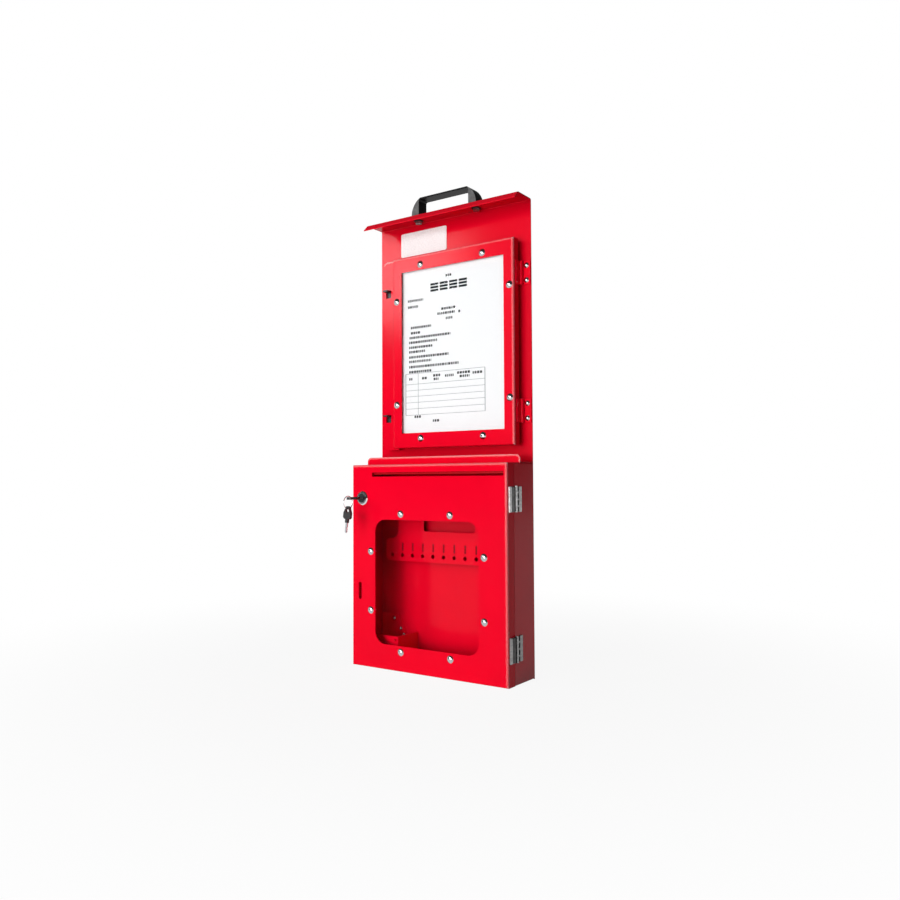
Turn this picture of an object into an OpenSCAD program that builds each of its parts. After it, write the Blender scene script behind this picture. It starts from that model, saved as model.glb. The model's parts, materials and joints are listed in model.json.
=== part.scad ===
// Lockout station: a group lockout cabinet with a windowed door, and above it a back board with a
// canopy, a carry handle and a hinged, lockable frame for a permit sheet.
// Millimetres. The origin is the centre of the cabinet's footprint, on the surface it stands on.
// +X is to the right of someone facing the door, -Y is the front, +Z is up.

/* [Permit sheet] */
// Width of the permit sheet
sheet_w = 210; // [200:1:230]
// Length of the permit sheet
sheet_h = 297; // [270:1:330]

/* [Cabinet] */
// Width of the cabinet, door and board
cab_w = 300; // [280:1:360]
// Height of the cabinet
cab_h = 332; // [325:1:380]
// Depth from the door's face to the board's back
cab_d = 80; // [76:1:110]
// Thickness of the folded steel sheet
sheet = 1.5; // [1:0.1:2]
// Width of the return flange around the cabinet's mouth
return_w = 10; // [6:1:11]

/* [Door] */
// Depth of the door pan
door_d = 20; // [18:1:24]
// Gap between door pan and cabinet, and under and over the door
door_gap = 0.5; // [0.3:0.1:1]
// Width and height of the square window
win_w = 201; // [160:1:205]
// Corner radius of the window
win_r = 20; // [5:1:30]
// Height of the window's centre
win_z = 141.5; // [138:0.5:143]
// Offset of the window's centre from the door's centre
win_x = -1; // [-3:0.5:3]
// Edge of the window to the line of its screws
win_screw_edge = 9.5; // [8:0.5:11]
// Distance between the two screws on each side of the window
win_screw_gap = 96; // [60:1:120]
// Thickness of the window pane
pane_t = 3; // [2:0.5:4]
// Thickness of the rubber gasket under the pane
gasket_t = 1; // [0.5:0.5:2]
// Length of the drop slot
slot_l = 252; // [150:1:254]
// Height of the drop slot
slot_h = 7; // [6:0.5:9]
// Middle of the drop slot below the door's top edge
slot_down = 16; // [14:0.5:18]
// Metal left between the drop slot and the door's hinge edge
slot_edge = 6; // [5:0.5:12]
// Width of the hasp slot in the door
hasp_w = 6; // [5:0.5:8]
// Height of the hasp slot
hasp_h = 28; // [20:1:34]
// Height of the hasp slot's centre
hasp_z = 124; // [100:1:160]
// Centre of the hasp slot from the door's edge
hasp_in = 16.5; // [16:0.5:18]

/* [Screws] */
// Thread diameter of the window and frame screws
screw_d = 5; // [3:0.5:5]
// Diameter of a dome head
head_d = 12; // [8:0.1:12.5]
// Height of a dome head
head_h = 2.6; // [1.5:0.1:3]
// Radial clearance of a screw in its hole
screw_clear = 0.2; // [0.1:0.05:0.5]

/* [Lock] */
// Lock centre from the door's edge
lock_in = 22.3; // [22:0.1:24]
// Height of the lock's centre
lock_z = 276.7; // [275:0.1:285]
// Diameter of the lock's bezel
bezel_d = 23; // [22:0.5:25]
// How far the bezel stands out from the door
bezel_t = 3; // [2:0.5:4]
// Diameter of the lock's barrel
barrel_d = 18; // [17:0.5:19]
// Diameter of the turning plug
plug_d = 15; // [11:0.1:15]
// Radial running clearance of the plug and the hinge pins
run_clear = 0.05; // [0.02:0.01:0.09]
// Reach of the cam from the lock's centre
cam_reach = 19; // [17:0.5:20]
// Length of a key's head
key_head_l = 21; // [20:0.5:26]
// Greatest width of a key's head
key_head_w = 15.5; // [15:0.5:20]
// Thickness of a key's head
key_head_t = 4.2; // [3.5:0.1:4.5]
// Length of a key from its head's shoulder to its tip
key_blade_l = 22.5; // [20:0.5:26]
// Length of the moulded collar between a key's head and its bare blade
key_collar = 6; // [5:0.5:11]
// Distance between the lock's face and the shoulder of the inserted key
key_neck = 12.5; // [12:0.5:14]
// Mean radius of the key ring
ring_r = 10.5; // [10:0.5:14]
// Radius of the key ring's wire
ring_wire = 0.7; // [0.5:0.1:0.8]

/* [Door hinges] */
// Height of a door hinge
dh_h = 38; // [30:1:50]
// Radius of its barrel
dh_r = 2.2; // [2.2:0.1:3]
// Thickness of its leaves
dh_leaf_t = 1.8; // [1.5:0.1:2]
// Width of the leaf on the cabinet
dh_leaf_fixed = 19; // [18:0.5:24]
// Width of the leaf on the door
dh_leaf_door = 17.5; // [16:0.5:18.5]
// Height of the lower hinge's centre
dh_low = 54; // [40:1:70]
// Height of the upper hinge's centre
dh_high = 276.5; // [230:0.5:290]

/* [Board] */
// Height of the canopy's top above the floor
board_h = 747; // [730:1:800]
// Depth of the canopy's flat plate, from the board's front face
canopy_d = 39.5; // [35:0.5:45]
// Length of the canopy's sloping lip
lip_l = 13.5; // [8:0.5:18]
// Angle of the lip below the plate
lip_angle = 46; // [30:1:60]
// Outer bend radius of the board's canopy
bend_r = 3; // [2.5:0.1:4]
// Outer bend radius of the cabinet, its door and the permit cover
fold_r = 2.4; // [1.8:0.1:3]
// Height of the tray's lip above the cabinet
tray_lip = 12.6; // [8:0.1:16]
// Distance from the tray's lip to the board's front face
tray_d = 39; // [30:1:44]
// Corner radius of the tray's lip
tray_corner = 7; // [4:0.5:10]
// Thickness of the tray's sheet
tray_t = 1.2; // [1:0.1:1.5]
// Length of the label
label_w = 96; // [60:1:100]
// Height of the label
label_h = 41; // [20:1:42]
// Distance from the board's edge to the label
label_in = 43.8; // [20:0.1:60]
// Distance from the canopy's top to the label
label_down = 13.8; // [12:0.1:18]

/* [Handle] */
// Distance between the handle's bolts
handle_span = 116; // [90:1:140]
// Height of the handle above the canopy
handle_h = 33.3; // [31:0.1:34]
// Width of the handle, front to back
handle_d = 22; // [18:1:23]
// Thickness of the grip
handle_t = 2.6; // [2.4:0.1:4]
// Distance between the legs
handle_room = 99.4; // [95:0.2:102]
// Radius of each leg's curved outer side
handle_r = 32.5; // [31:0.5:36]
// Distance from the board's front face to the handle's middle
handle_in = 14.5; // [13:0.5:16]

/* [Permit frame] */
// Width of the frame cover
frame_w = 238; // [236:1:245]
// Height of the frame cover
frame_h = 324; // [320:1:330]
// Height of the frame's centre
frame_z = 522; // [515:1:540]
// Width of the viewing opening
open_w = 202; // [190:1:204]
// Height of the viewing opening
open_h = 274; // [250:1:276]
// Distance from the board's right edge to the cover's hinge side
frame_edge = 18.5; // [18:0.5:20]
// Depth of the cover box
cover_d = 15; // [14:0.5:18]
// Height of the base tray under the cover
base_d = 8.2; // [8:0.1:9]
// Width of the latch flange beside the cover
flange_w = 31; // [28:0.5:31]
// Corner radius of the latch flange and the base tray
flange_r = 8; // [4:1:10]
// Thickness of the cover's clear pane
cover_pane_t = 1.5; // [1.5:0.5:2]
// Screws beside the opening, from the cover's outer side
side_screw_in = 7.8; // [7:0.1:8.5]
// Half the distance between the two screws on each side
side_screw_z = 88.3; // [70:0.1:100]
// Screws above and below the opening, from the cover's outer end
end_screw_in = 15.8; // [12:0.1:17]
// Half the distance between the two screws at top and bottom
end_screw_x = 61.4; // [40:0.1:80]

/* [Frame hinges and staples] */
// Height of a frame hinge
fh_h = 37; // [30:1:45]
// Radius of its barrel
fh_r = 2.75; // [2.5:0.05:3]
// Thickness of its leaves
fh_leaf_t = 1.5; // [1:0.1:1.6]
// Distance of each hinge and staple from the frame's centre height
fh_off = 108.5; // [90:0.5:120]
// Distance between the two screws of a hinge
fh_screw_gap = 23.3; // [18:0.1:25]
// Width of a lock staple
staple_w = 9.6; // [9:0.1:12]
// Thickness of a lock staple
staple_t = 2.5; // [2:0.1:3]
// How far a staple stands out from the latch flange
staple_out = 10; // [9:0.5:12]
// Diameter of the padlock hole in a staple
staple_hole_d = 6; // [4:0.5:6]

/* [Key rack and bin] */
// Distance from the rack's front face to the cabinet's back wall
rack_off = 11.5; // [11:0.5:16]
// Width of the rack
rack_w = 261; // [255:1:264]
// Width of the rack's neck
rack_neck = 209; // [190:1:215]
// Height of the rack's lower edge
rack_z = 169; // [160:1:175]
// Height of the rack
rack_h = 100; // [96:1:110]
// Number of key positions
rack_n = 12; // [8:1:12]
// Distance between key positions
rack_pitch = 21.3; // [18:0.1:21.4]
// Diameter of a key position's hole
rack_hole_d = 6.6; // [4:0.1:8]
// Height of the holes above the rack's lower edge
rack_hole_up = 10; // [8:0.5:14]
// Length of the rack's hand slot
hand_l = 102; // [80:1:120]
// Height of the hand slot
hand_h = 30; // [26:1:32]
// Lower edge of the hand slot above the rack's lower edge
hand_up = 51.5; // [48:0.5:56]
// Width of the corner bin
bin_w = 76.5; // [60:0.5:80]
// Height of the corner bin
bin_h = 48.5; // [40:0.5:55]

/* [Wall mount] */
// Distance between the wall holes across
wall_x = 220; // [200:1:230]
// Distance between the wall holes up and down
wall_z = 275; // [260:1:280]
// Diameter of a wall hole
wall_hole_d = 7; // [5:0.5:8]

/* [Hidden] */
$fn = 64;
small_fn = 32;
eps = 0.01;
touch = 0.02;      // radial gap of parts that are screwed or pressed together
rest_gap = 0.3;    // gap left where a loose piece lies on its seat

x_left = -cab_w / 2;
x_right = cab_w / 2;
y_front = -cab_d / 2;
y_back = cab_d / 2;
y_board = y_back - sheet;            // board's front face
y_shell_in = y_board - sheet;        // inner face of the cabinet's back wall
y_door_in = y_front + sheet;         // inner face of the door's front
y_door_rear = y_front + door_d;
y_shell_front = y_door_rear + door_gap;
y_return_rear = y_shell_front + sheet;
door_z0 = door_gap;
door_z1 = cab_h - door_gap;

win_screw_off = win_w / 2 + win_screw_edge;
pane_w = 2 * win_screw_off + 16;
y_gasket = y_door_in;
y_pane = y_gasket + gasket_t;
y_pane_rear = y_pane + pane_t;
slot_z = door_z1 - slot_down;
slot_x = x_right - slot_edge - slot_l / 2;
baffle_reach = 4.5;                  // depth of the baffle behind the door's face
baffle_t = 1;
baffle_tab = 8;                      // height of its spot-welded tab
baffle_side = 3;                     // how far it passes the slot at each end
nut_af = 8;
nut_h = 3.2;
screw_tip = 1.5;                     // thread that shows behind a nut

lock_x = x_left + lock_in;
barrel_y1 = y_shell_front + sheet;   // the barrel reaches through the cabinet's mouth
cam_t = 2;
cam_w = 11;
cam_hub_r = 7;
cam_bolt_r = 2.5;
cam_bolt_l = 3;
cam_bolt_af = 8;
lock_nut_af = 23;
lock_nut_h = 3.5;
lock_nut_room = 1.5;                 // a wide window is cut out this far around the lock nut
plug_recess = 0.4;                   // plug's face behind the bezel's face
cam_gap = 1.3;                       // cam behind the cabinet's return flange
cam_y = y_return_rear + cam_gap;
plug_stub_r = 4;
lock_face = y_front - bezel_t;
keyway_w = 4.4;
blade_w = 4;
blade_t = 1.9;
collar_w = 5.4;
key_head_y = lock_face - key_neck;   // shoulder side of the inserted key's head
key_hole_r = 3.3;
key_hole_in = 7;                     // hole centre from the head's end
key_hole_y = key_head_y - key_head_l + key_hole_in;
// The ring hangs in the key hole, its wire just clear of the upper rim in front and of the lower
// rim behind. Both gaps are wire_gap, which places the ring's centre.
wire_gap = 0.2;
wire_room = ring_wire + wire_gap;
rim_reach = sqrt(key_hole_r * key_hole_r + key_head_t * key_head_t / 4);
ring_reach = sqrt(ring_r * ring_r + wire_room * wire_room - rim_reach * rim_reach);
ring_angle = 180 - atan2(key_head_t / 2, key_hole_r)
  + acos(ring_r * wire_room / (ring_reach * rim_reach));
ring_y = key_hole_y + ring_reach * cos(ring_angle);
ring_z = lock_z + ring_reach * sin(ring_angle);
spare_pivot_z = ring_z - ring_r;
wire_rise = ring_r - sqrt(ring_r * ring_r - key_head_t * key_head_t / 4);
spare_hole_z = spare_pivot_z + wire_rise + ring_wire + 0.15 - key_hole_r;
spare_lean = 7;                      // the spare key hangs a little askew on the ring

dh_behind = 1.4;                     // hinge pins behind the seam of door and cabinet
dh_pad_t = 0.4;                      // black pad on the cabinet's wall behind the knuckles
dh_wall_gap = 0.7;                   // the door's leaf and knuckles clear the cabinet's wall
dh_notch = 11;                       // from the pin to the full part of the cabinet's leaf
dh_x = x_right + dh_r + dh_wall_gap;
dh_y = y_door_rear + door_gap / 2 + dh_behind;
dh_knuckle_gap = 0.35;
dh_rib_h = 1.5;                      // half-round ribs pressed into the door's leaf
dh_rib_w = 6.6;
dh_ribs = [3.4, 11.6];               // rib centres, from the leaf's front edge
dh_pin_r = 1.1;
dh_fixed_k = 3;                      // length of a knuckle on the cabinet's leaf
knuckle_gap = 0.15;

canopy_z0 = board_h - sheet;
fold_y = y_board - canopy_d;         // outer corner of the fold between plate and lip
lip_tangent = bend_r * tan(lip_angle / 2);
tray_z = cab_h;
y_tray_lip = y_board - tray_d;

handle_y = y_board - handle_in;
bolt_r = 3;
bolt_head_af = 10;
bolt_head_h = 4;
bolt_grip = 11;                      // length of bolt inside the handle
bolt_bore = bolt_grip + 1;
washer_r = 8;
washer_t = 1.2;
handle_inner_r = 3;
handle_curve_x = 32.1;               // centre of the curve of a leg's outer side
handle_curve_z = 4.4;

frame_x = x_right - frame_edge - frame_w / 2;
y_base = y_board - base_d;           // front face of the base tray
y_cover_rear = y_base - rest_gap;
y_cover = y_cover_rear - cover_d;    // face of the cover
y_flange = y_cover_rear - sheet;
y_cover_in = y_cover + sheet;
y_cover_pane = y_cover_in + cover_pane_t;
frame_left = frame_x - frame_w / 2;
frame_right = frame_x + frame_w / 2;
flange_left = frame_left - flange_w;
flange_over = 2;                     // how far the flange passes the cover at top and bottom
base_recess = 4.5;                   // base tray set back behind the cover's hinge side
panel_t = 1.5;
panel_h_up = 9.3;                    // height of the panel's rim on the base tray
panel_rim = 20;                      // width of that rim
panel_clear = 4.5;                   // gap between the panel and the cover's sides
panel_front = y_base - panel_h_up;
panel_w = frame_w - 2 * sheet - 2 * panel_clear;
panel_h = frame_h - 2 * sheet - 2 * panel_clear;
sheet_t = 0.3;
magnet_d = 8;
magnet_h = 1.5;
magnet_off = 30;                     // magnet from the sheet's middle line
magnet_in = 6;                       // magnet from the sheet's end
frame_nut_h = 1.8;
frame_screw_tip = 0.3;

fh_x = frame_right + 3;
fh_y = y_board - fh_leaf_t - fh_r + 0.25;
fh_pin_r = 1.1;
fh_leaf_side = 13;                   // width of the leaf on the cover's side
fh_board_edge = 0.7;                 // board left beside the leaf
fh_screw_x = x_right - 7.7;
fh_head_d = 8.8;
fh_head_h = 2.2;
fh_fixed_k = 7.4;                    // length of a knuckle on the board's leaf
staple_x = flange_left + 10.2;
staple_z_up = 4.7;                   // staple's top above the hinge height
staple_cut_h = 13;
staple_gap = 0.6;                    // clearance of a staple in the flange's cut-out

y_rack = y_shell_in - rack_off;
rack_curve = 14;                     // radius of the rack's shoulder curves
rack_corner = 8;
rack_top = rack_z + rack_h;
hand_z = rack_z + hand_up;
spacer_x = rack_neck / 2 - 14;
spacer_z = rack_top - 8;
y_bin = y_return_rear + 0.5;
bin_t = 1.2;
bin_x0 = x_left + sheet + rest_gap;
bin_x1 = bin_x0 + bin_w;
bin_z = sheet + rest_gap;
bin_top = bin_z + bin_h;
bin_hole_in = 6;                     // hole in the bin's front wall, from its corner
bin_hole_r = 2;
bin_head_d = 7;
bin_head_h = 2.2;
// The bin's three screws, as shares of its width and height.
bin_back_screws = [
  [0.34 * bin_w, 1.39 * bin_h], [0.53 * bin_w, 1.05 * bin_h], [0.62 * bin_w, 0.85 * bin_h]];
rivet_x = 60;
rivet_z = [12, 262];
rivet_r = 2;
rivet_head_d = 7;
rivet_head_h = 1.6;
wall_mid = cab_h / 2 - 3.5;

function odd_row(n, pitch) = [for (i = [0:n - 1]) (i - (n - 1) / 2) * pitch];

// Rectangle with round corners, centred.
module rounded_rect(w, h, r) {
  square([w, h - 2 * r], center = true);
  square([w - 2 * r, h], center = true);
  for (sx = [-1, 1], sz = [-1, 1])
    translate([sx * (w / 2 - r), sz * (h / 2 - r)]) circle(r);
}

// Turns a drawing in the XZ plane into a plate from y to y + t.
module plate_xz(y, t) {
  translate([0, y + t, 0]) rotate([90, 0, 0]) linear_extrude(t) children();
}

// Turns a drawing in the YZ plane into a bar from x to x + l.
module bar_yz(x, l) {
  translate([x, 0, 0]) rotate([90, 0, 90]) linear_extrude(l) children();
}

// Cylinder along Y from y to y + l.
module rod_y(x, y, z, r, l) {
  translate([x, y + l, z]) rotate([90, 0, 0]) cylinder(r = r, h = l);
}

// Box from a to b whose edges on the front side, at a[1], are folds of radius r.
module folded_box(a, b, r) {
  intersection() {
    translate([0, 0, a[2]]) linear_extrude(b[2] - a[2]) {
      translate([a[0], a[1] + r]) square([b[0] - a[0], b[1] - a[1] - r]);
      translate([a[0] + r, a[1]]) square([b[0] - a[0] - 2 * r, r]);
      for (x = [a[0] + r, b[0] - r]) translate([x, a[1] + r]) circle(r, $fn = small_fn);
    }
    bar_yz(a[0], b[0] - a[0]) {
      translate([a[1] + r, a[2]]) square([b[1] - a[1] - r, b[2] - a[2]]);
      translate([a[1], a[2] + r]) square([r, b[2] - a[2] - 2 * r]);
      for (z = [a[2] + r, b[2] - r]) translate([a[1] + r, z]) circle(r, $fn = small_fn);
    }
  }
}

// Box from corner to corner.
module block(a, b) {
  translate(a) cube([b[0] - a[0], b[1] - a[1], b[2] - a[2]]);
}

// Dome head whose flat side is at y and which bulges towards -Y.
module dome_head(x, y, z, d = head_d, h = head_h) {
  ball = (d * d / 4 + h * h) / (2 * h);
  intersection() {
    translate([x, y - h + ball, z]) sphere(ball);
    rod_y(x, y - h, z, d / 2, h);
  }
}

module hex_nut(x, y, z, af, h, r) {
  difference() {
    translate([x, y + h, z]) rotate([90, 0, 0]) cylinder(d = af / cos(30), h = h, $fn = 6);
    rod_y(x, y - eps, z, r, h + 2 * eps);
  }
}

// Places of the eight window screws, as [x, z].
function win_screws() = [
  for (s = [-1, 1], t = [-1, 1]) [win_x + s * win_screw_off, win_z + t * win_screw_gap / 2],
  for (s = [-1, 1], t = [-1, 1]) [win_x + t * win_screw_gap / 2, win_z + s * win_screw_off]
];

// Places of the eight frame screws, as [x, z].
function frame_points() = [
  for (s = [-1, 1], t = [-1, 1])
    [frame_x + s * (frame_w / 2 - side_screw_in), frame_z + t * side_screw_z],
  for (s = [-1, 1], t = [-1, 1])
    [frame_x + t * end_screw_x, frame_z + s * (frame_h / 2 - end_screw_in)]
];

function wall_points() = [
  for (s = [-1, 1], t = [-1, 1]) [s * wall_x / 2, wall_mid + t * wall_z / 2]
];

function rivet_points() = [for (s = [-1, 1], z = rivet_z) [s * rivet_x, z]];

function hinge_heights() = [frame_z - fh_off, frame_z + fh_off];

// Lower ends of the fixed knuckles of a hinge whose middle is at height 0.
function knuckles(n, h, fixed_k) = let(gap = (h - n * fixed_k) / (n + 1))
  [for (i = [0:n - 1]) -h / 2 + gap + i * (fixed_k + gap)];

// ---------------------------------------------------------------- cabinet

module cabinet_shell() color("crimson") {
  difference() {
    plate_xz(y_shell_front, y_board - y_shell_front)
      translate([0, cab_h / 2]) rounded_rect(x_right - x_left, cab_h, fold_r);
    plate_xz(y_return_rear, y_shell_in - y_return_rear) translate([0, cab_h / 2])
      rounded_rect(x_right - x_left - 2 * sheet, cab_h - 2 * sheet, fold_r - sheet);
    block([x_left + sheet + return_w, y_shell_front - eps, sheet + return_w],
          [x_right - sheet - return_w, y_return_rear + eps, cab_h - sheet - return_w]);
    for (p = wall_points()) rod_y(p[0], y_shell_in - eps, p[1], wall_hole_d / 2, sheet + 2 * eps);
    for (p = rivet_points()) rod_y(p[0], y_shell_in - eps, p[1], rivet_r + touch, sheet + 2 * eps);
  }
}

module board_profile() {
  translate([y_board, 0]) square([sheet, board_h - bend_r]);
  translate([y_back - bend_r, board_h - bend_r]) intersection() {
    bend_ring();
    square(bend_r);
  }
  translate([fold_y + lip_tangent, canopy_z0])
    square([y_back - bend_r - fold_y - lip_tangent, sheet]);
  translate([fold_y + lip_tangent, board_h - bend_r]) {
    intersection() {
      bend_ring();
      rotate(90) square(bend_r);
      rotate(lip_angle) square(2 * bend_r);
    }
    rotate(lip_angle) translate([-lip_l, bend_r - sheet]) square([lip_l, sheet]);
  }
}

module bend_ring() {
  difference() {
    circle(bend_r);
    circle(bend_r - sheet);
  }
}

module back_board() color("red") {
  difference() {
    bar_yz(x_left, cab_w) board_profile();
    for (p = wall_points()) rod_y(p[0], y_board - eps, p[1], wall_hole_d / 2, sheet + 2 * eps);
    for (p = rivet_points()) rod_y(p[0], y_board - eps, p[1], rivet_r + touch, sheet + 2 * eps);
    for (s = [-1, 1]) translate([s * handle_span / 2, handle_y, canopy_z0 - eps])
      cylinder(r = bolt_r + screw_clear, h = sheet + 2 * eps);
  }
}

module board_rivets() color("silver") {
  for (p = rivet_points()) {
    dome_head(p[0], y_shell_in, p[1], rivet_head_d, rivet_head_h);
    rod_y(p[0], y_shell_in - eps, p[1], rivet_r, 2 * sheet + eps);
  }
}

module top_tray() color("red") {
  block([x_left, y_tray_lip, tray_z], [x_right, y_board, tray_z + tray_t]);
  plate_xz(y_tray_lip, tray_t) intersection() {
    translate([0, tray_z]) rounded_rect(x_right - x_left, 2 * tray_lip, tray_corner);
    translate([x_left, tray_z]) square([x_right - x_left, tray_lip]);
  }
}

// ---------------------------------------------------------------- door

module door_face_cuts() {
  translate([win_x, win_z]) rounded_rect(win_w, win_w, win_r);
  translate([slot_x, slot_z]) rounded_rect(slot_l, slot_h, 1.5);
  translate([x_left + hasp_in, hasp_z]) rounded_rect(hasp_w, hasp_h, hasp_w / 2 - 0.5);
}

module cabinet_door() color("red") {
  difference() {
    folded_box([x_left, y_front, door_z0], [x_right, y_door_rear, door_z1], fold_r);
    folded_box([x_left + sheet, y_door_in, door_z0 + sheet],
               [x_right - sheet, y_door_rear + eps, door_z1 - sheet], fold_r - sheet);
    plate_xz(y_front - eps, sheet + 2 * eps) door_face_cuts();
    rod_y(lock_x, y_front - eps, lock_z, barrel_d / 2 + screw_clear, sheet + 2 * eps);
    for (p = win_screws())
      rod_y(p[0], y_front - eps, p[1], screw_d / 2 + screw_clear, sheet + 2 * eps);
  }
}

module slot_baffle() color("darkred") {
  top = slot_z + slot_h / 2;
  y_far = y_door_in + baffle_reach;
  bar_yz(slot_x - slot_l / 2 - baffle_side, slot_l + 2 * baffle_side) polygon([
    [y_door_in, top + baffle_tab], [y_door_in, top], [y_far - baffle_t, top],
    [y_far - baffle_t, slot_z], [y_far, slot_z],
    [y_far, top + baffle_t], [y_door_in + baffle_t, top + baffle_t],
    [y_door_in + baffle_t, top + baffle_tab]]);
}

module pane_plate(y, t, inner) {
  difference() {
    plate_xz(y, t) difference() {
      translate([win_x, win_z]) rounded_rect(pane_w, pane_w, 5);
      if (inner > 0) translate([win_x, win_z]) rounded_rect(inner, inner, win_r);
    }
    for (p = win_screws()) rod_y(p[0], y - eps, p[1], screw_d / 2 + screw_clear, t + 2 * eps);
    rod_y(lock_x, y - eps, lock_z, lock_nut_af / sqrt(3) + lock_nut_room, t + 2 * eps);
  }
}

module window_gasket() color("black") { pane_plate(y_gasket, gasket_t, win_w + 3); }

module door_window() color("lightcyan") { pane_plate(y_pane, pane_t, 0); }

module dome_screw(x, y_head, z, length) {
  dome_head(x, y_head, z);
  rod_y(x, y_head - eps, z, screw_d / 2, length);
}

module window_screws() color("gainsboro") {
  length = y_pane_rear - y_front + nut_h + screw_tip;
  for (p = win_screws()) dome_screw(p[0], y_front, p[1], length);
}

module window_nuts() color("silver") {
  for (p = win_screws()) hex_nut(p[0], y_pane_rear, p[1], nut_af, nut_h, screw_d / 2 + touch);
}

// ---------------------------------------------------------------- lock and keys

module lock_housing() color("silver") {
  difference() {
    union() {
      rod_y(lock_x, y_front - eps, lock_z, barrel_d / 2, barrel_y1 - y_front + eps);
      translate([lock_x, y_front, lock_z]) rotate([90, 0, 0]) rotate_extrude()
        polygon([[0, 0], [bezel_d / 2, 0], [bezel_d / 2, bezel_t / 2], [bezel_d / 2 - 1.5, bezel_t],
                 [0, bezel_t]]);
    }
    rod_y(lock_x, lock_face - eps, lock_z, plug_d / 2 + run_clear, barrel_y1 - lock_face + 2 * eps);
  }
}

module lock_nut() color("silver") {
  hex_nut(lock_x, y_door_in, lock_z, lock_nut_af, lock_nut_h, barrel_d / 2 + touch);
}

module lock_plug() color("dimgray") {
  difference() {
    union() {
      rod_y(lock_x, lock_face + plug_recess, lock_z, plug_d / 2, barrel_y1 - lock_face - plug_recess);
      rod_y(lock_x, barrel_y1 - eps, lock_z, plug_stub_r, cam_y + cam_t - barrel_y1 + eps);
    }
    block([lock_x - keyway_w / 2, lock_face, lock_z - blade_t / 2 - touch],
          [lock_x + keyway_w / 2, lock_face + key_blade_l - key_neck + 1, lock_z + blade_t / 2 + touch]);
    rod_y(lock_x, cam_y + cam_t - cam_bolt_l, lock_z, cam_bolt_r, cam_bolt_l + eps);
  }
}

module lock_cam() color("silver") {
  plate_xz(cam_y, cam_t) difference() {
    union() {
      translate([lock_x, lock_z]) circle(cam_hub_r);
      translate([lock_x - cam_w / 2, lock_z - cam_reach]) square([cam_w, cam_reach]);
    }
    translate([lock_x, lock_z]) circle(plug_stub_r + touch);
  }
}

module cam_bolt() color("silver") {
  y = cam_y + cam_t;
  translate([lock_x, y + cam_bolt_l, lock_z]) rotate([90, 0, 0])
    cylinder(d = cam_bolt_af / cos(30), h = cam_bolt_l, $fn = 6);
  rod_y(lock_x, y - cam_bolt_l + touch, lock_z, cam_bolt_r - touch, cam_bolt_l);
}

// Key head in its own plane: its end at [0, key_head_l], its shoulder at the origin.
module key_head_outline() {
  narrow = key_head_w * 0.58;
  difference() {
    union() {
      polygon([[-key_head_w / 2 + 2.5, 0], [key_head_w / 2 - 2.5, 0], [key_head_w / 2, 2.5],
               [key_head_w / 2, 10], [narrow / 2, key_head_l - 3.4], [-narrow / 2, key_head_l - 3.4],
               [-key_head_w / 2, 10], [-key_head_w / 2, 2.5]]);
      intersection() {
        translate([0, key_head_l - key_head_w / 2]) circle(key_head_w / 2);
        translate([-narrow / 2, key_head_l - 6]) square([narrow, 6]);
      }
    }
    translate([0, key_head_l - key_hole_in]) circle(key_hole_r);
  }
}

// Blade in the key's plane: from the shoulder at y = 0 down to y = -key_blade_l.
module key_blade_outline(w) {
  polygon([[-w / 2, 3], [-w / 2, -key_blade_l + 2.5], [-w / 5, -key_blade_l], [w / 5, -key_blade_l],
           [w / 2, -key_blade_l + 3], [w / 2 - 0.8, -key_blade_l + 4.5], [w / 2, -key_blade_l + 6],
           [w / 2 - 1.1, -key_blade_l + 8], [w / 2, -key_blade_l + 10], [w / 2, 3]]);
}

// Lays a key's plane flat: the head points to -Y, away from the lock.
module in_lock() {
  translate([lock_x, key_head_y, lock_z]) rotate([0, 0, 180]) children();
}

// Hangs a key's plane upright under the ring, with the head up.
module on_ring() {
  translate([lock_x, ring_y, spare_hole_z]) rotate([0, spare_lean, 0]) rotate([90, 0, 0])
    translate([0, -(key_head_l - key_hole_in), 0]) children();
}

// Head and collar of a key, with a pocket for the blade.
module head_solid() {
  difference() {
    translate([0, 0, -key_head_t / 2]) linear_extrude(key_head_t) {
      key_head_outline();
      translate([-collar_w / 2, -key_collar]) square([collar_w, key_collar + 0.5]);
    }
    block([-blade_w / 2 - touch, -key_collar - eps, -blade_t / 2 - touch],
          [blade_w / 2 + touch, 3 + touch, blade_t / 2 + touch]);
  }
}

module blade_solid() {
  translate([0, 0, -blade_t / 2]) linear_extrude(blade_t) key_blade_outline(blade_w);
}

module key_blade() color("silver") { in_lock() blade_solid(); }

module key_head() color("black") { in_lock() head_solid(); }

module key_ring() color("silver") {
  translate([lock_x, ring_y, ring_z]) rotate([0, 90, 0]) rotate_extrude()
    translate([ring_r, 0]) circle(ring_wire, $fn = small_fn);
}

module spare_key_blade() color("silver") { on_ring() blade_solid(); }

module spare_key_head() color("black") { on_ring() head_solid(); }

// ---------------------------------------------------------------- hinges

// Upright tube from z to z + h.
module tube(x, y, z, r, bore, h) {
  difference() {
    translate([x, y, z]) cylinder(r = r, h = h);
    translate([x, y, z - eps]) cylinder(r = bore, h = h + 2 * eps);
  }
}

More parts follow.
